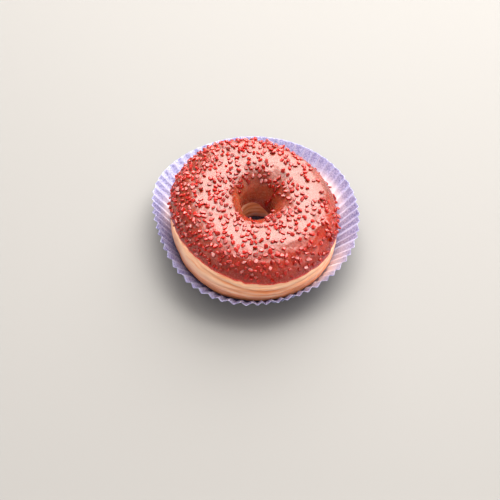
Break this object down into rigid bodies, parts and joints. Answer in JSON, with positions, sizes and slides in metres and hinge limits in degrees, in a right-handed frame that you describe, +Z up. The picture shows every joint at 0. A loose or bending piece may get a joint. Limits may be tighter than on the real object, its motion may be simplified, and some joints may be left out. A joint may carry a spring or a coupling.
{
  "type": "chocolate doughnut",
  "caption": "Ring doughnut with chocolate icing and chocolate flakes over its top, standing in a pleated paper case.",
  "frame": {"origin": "middle of the paper case's flat floor, on the surface that it stands on", "axes": "+Z up, through the doughnut's hole; -Y towards the side seen nearest in the picture, +X to its right"},
  "size_m": [0.1168, 0.1233, 0.0436],
  "materials": {
    "dough": "fried yeast dough, pale round its waist and browner below, matt",
    "icing": "set chocolate icing with chocolate flakes, satin gloss",
    "paper": "thin greaseproof paper, lilac white, pleated, matt"
  },
  "bodies": {
    "root": {"dough_ring": "dough", "chocolate_icing": "icing", "paper_case": "paper"}
  },
  "joints": []
}
